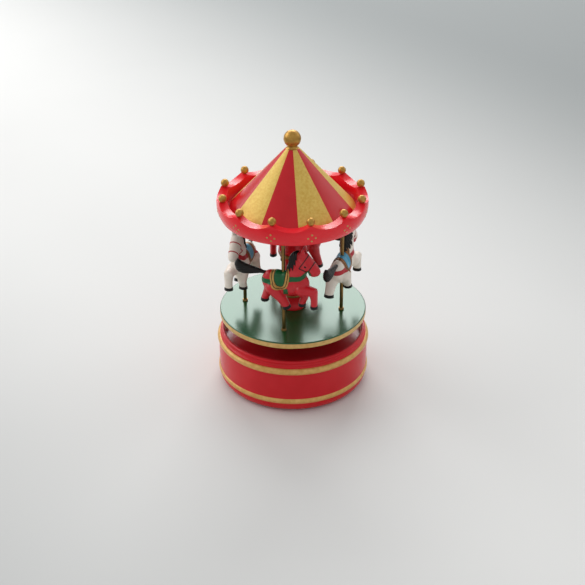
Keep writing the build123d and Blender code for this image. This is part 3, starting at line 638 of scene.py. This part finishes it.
def crown_dots(material):
    """Four gilt dots in a diamond under every ball, raised like drops of paint on the crown's outer wall."""
    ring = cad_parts["crown_ring"]
    dots = []
    for ball in range(1, BALLS + 1):
        low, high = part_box(f"crown_ball_{ball}")
        heading = atan2(low.x + high.x, -low.y - high.y)
        for across, up in ((-DOT_ACROSS, 0), (DOT_ACROSS, 0), (0, -DOT_UP), (0, DOT_UP)):
            turn = heading + across / crown_high.x
            outward = Vector((sin(turn), -cos(turn), 0))
            start = outward * OUTSIDE + Vector((0, 0, crown_low.z + DOT_HEIGHT + up))
            _, point, normal, _ = ring.ray_cast(start, -outward)
            bpy.ops.mesh.primitive_uv_sphere_add(segments=16, ring_count=8, radius=DOT_RADIUS,
                                                 location=point)
            dot = bpy.context.object
            dot.scale = (1, 1, DOT_FLATNESS)
            dot.rotation_euler = normal.to_track_quat("Z", "Y").to_euler()
            bpy.ops.object.shade_smooth()
            dots.append(settle(dot))
    whole = joined(dots, "crown_dots")
    whole.data.materials.append(material)
    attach(whole, "carousel")


def horses():
    """The four horses, red and cream in turn, each carved anew so that none shares a mesh."""
    black = brush_paint("hair_black", "#0C0A09", "#17120F", 0.34, specular=0.3)
    hoof_black = brush_paint("hoof_black", "#0D0C0C", "#181615", 0.4, specular=0.3)
    seam = brush_paint("seam_brown", "#2C160C", "#3C2012", 0.45)
    red_set = {
        "coat": brush_paint("coat_red", "#C41C26", "#CE2630", 0.3), "hair": black,
        "seat": brush_paint("saddle_green", "#08562A", "#0C6434", 0.3),
        "gilt": brush_paint("trim_gold", "#A87C3A", "#CFA35A", 0.35, metallic=0.5), "seam": seam,
        "strap": brush_paint("strap_green", "#08562A", "#0C6434", 0.32),
        "bridle": brush_paint("bridle_dark", "#2A0A0A", "#360E0C", 0.4), "hoof_paint": hoof_black}
    cream_set = {
        "coat": brush_paint("coat_cream", "#EADFD0", "#F3EADE", 0.34), "hair": black,
        "seat": brush_paint("saddle_blue", "#3E93B8", "#62AECB", 0.3),
        "gilt": brush_paint("trim_brown_gold", "#84552C", "#A87440", 0.4, metallic=0.3), "seam": seam,
        "strap": brush_paint("strap_red", "#B01824", "#BE2430", 0.32),
        "bridle": brush_paint("bridle_red", "#B01824", "#BE2430", 0.32), "hoof_paint": hoof_black}
    for number, (finishes, slot, lowered, reach) in enumerate((
            (red_set, "horse_red", 0.0, 0.0), (cream_set, "horse_cream", CREAM_BRIDLE, 0.0),
            (red_set, "horse_red", 0.0, BACK_REACH), (cream_set, "horse_cream", CREAM_BRIDLE, 0.0)), 1):
        master = horse_master(**finishes, bridle_lowered=lowered, reach=reach)
        place_horse(master, number)
        bpy.data.objects.remove(master)


crown_dots(brush_paint("dot_gold", "#B98A48", "#D9B070", 0.35, metallic=0.5))
horses()


# ---------------------------------------------------------------- stage
SHADE_HEADING = (0.77, 0.64, 0)      # painted shade: the floor darkens along this heading, on both sides of the line where it is left pale
UNSHADED_LINE = 0.03
LIT_POINT = Vector((0, 0, 0.08))    # all lights aim at it
LENS = 74.365                       # millimetres, on a 36 mm sensor
CAMERA_PLACE = (-0.00023, -0.68442, 0.45674)
CAMERA_TILT = 59.97                 # degrees up from straight down
CAMERA_ROLL = -0.221


def floor():
    """Wide pale paper that the object stands on, with painted shade greying it towards its far right and
    near left.
    """
    deselect()
    bpy.ops.mesh.primitive_plane_add(size=24.0)
    sheet = bpy.context.object
    sheet.name = "floor"
    material, tree, shader = new_material("floor_paper", Roughness=0.75)
    where = place(tree)
    across = add(tree, "VectorMath", {1: SHADE_HEADING}, {0: where}, operation="DOT_PRODUCT")
    off = add(tree, "Math", {1: UNSHADED_LINE}, {0: across.outputs["Value"]}, operation="SUBTRACT").outputs[0]
    off = add(tree, "Math", links={0: off}, operation="ABSOLUTE").outputs[0]
    # painted shade: the paper greys away from the line where it is left pale
    painted_shade = add(tree, "MapRange", {1: 0.05, 2: 0.6}, {0: off}, interpolation_type="SMOOTHSTEP").outputs[0]
    pale = mixed(tree, mottle(tree, where, 0.3), linear("#D8D8D6"), linear("#DCDCDA"))
    colour(tree, shader, mixed(tree, painted_shade, pale, linear("#8A8E8E")))
    sheet.data.materials.append(material)


def soft_light(name, position, size, power):
    """White studio softbox, width by height, aimed at the object."""
    data = bpy.data.lights.new(name, "AREA")
    data.shape = "RECTANGLE"
    data.size, data.size_y = size
    data.energy = power
    lamp = bpy.data.objects.new(name, data)
    bpy.context.scene.collection.objects.link(lamp)
    lamp.location = position
    lamp.rotation_euler = (LIT_POINT - Vector(position)).to_track_quat("-Z", "Y").to_euler()


def lights():
    """Bright back light, weaker one on the left, faint one on the right, in an even white surround."""
    world = bpy.data.worlds.new("studio")
    world.use_nodes = True
    surround = world.node_tree.nodes["Background"]
    surround.inputs["Color"].default_value = linear("#F4F5F6")
    surround.inputs["Strength"].default_value = 0.66
    bpy.context.scene.world = world
    soft_light("back_box", (-0.1, 2.1, 1.4), (1.9, 1.25), 37.0)
    soft_light("left_box", (-1.6, 0.6, 1.1), (1.7, 1.4), 15.0)
    soft_light("right_box", (1.6, 0.9, 1.1), (1.5, 1.2), 4.0)


def camera():
    """Portrait lens from the front, thirty degrees up."""
    data = bpy.data.cameras.new("camera")
    data.lens = LENS
    data.sensor_width = 36.0
    view = bpy.data.objects.new("camera", data)
    bpy.context.scene.collection.objects.link(view)
    view.matrix_world = (Matrix.Translation(CAMERA_PLACE) @ Matrix.Rotation(radians(CAMERA_TILT), 4, "X")
                         @ Matrix.Rotation(radians(CAMERA_ROLL), 4, "Z"))
    bpy.context.scene.camera = view


floor()
lights()
camera()
bpy.context.scene.view_settings.view_transform = "Standard"
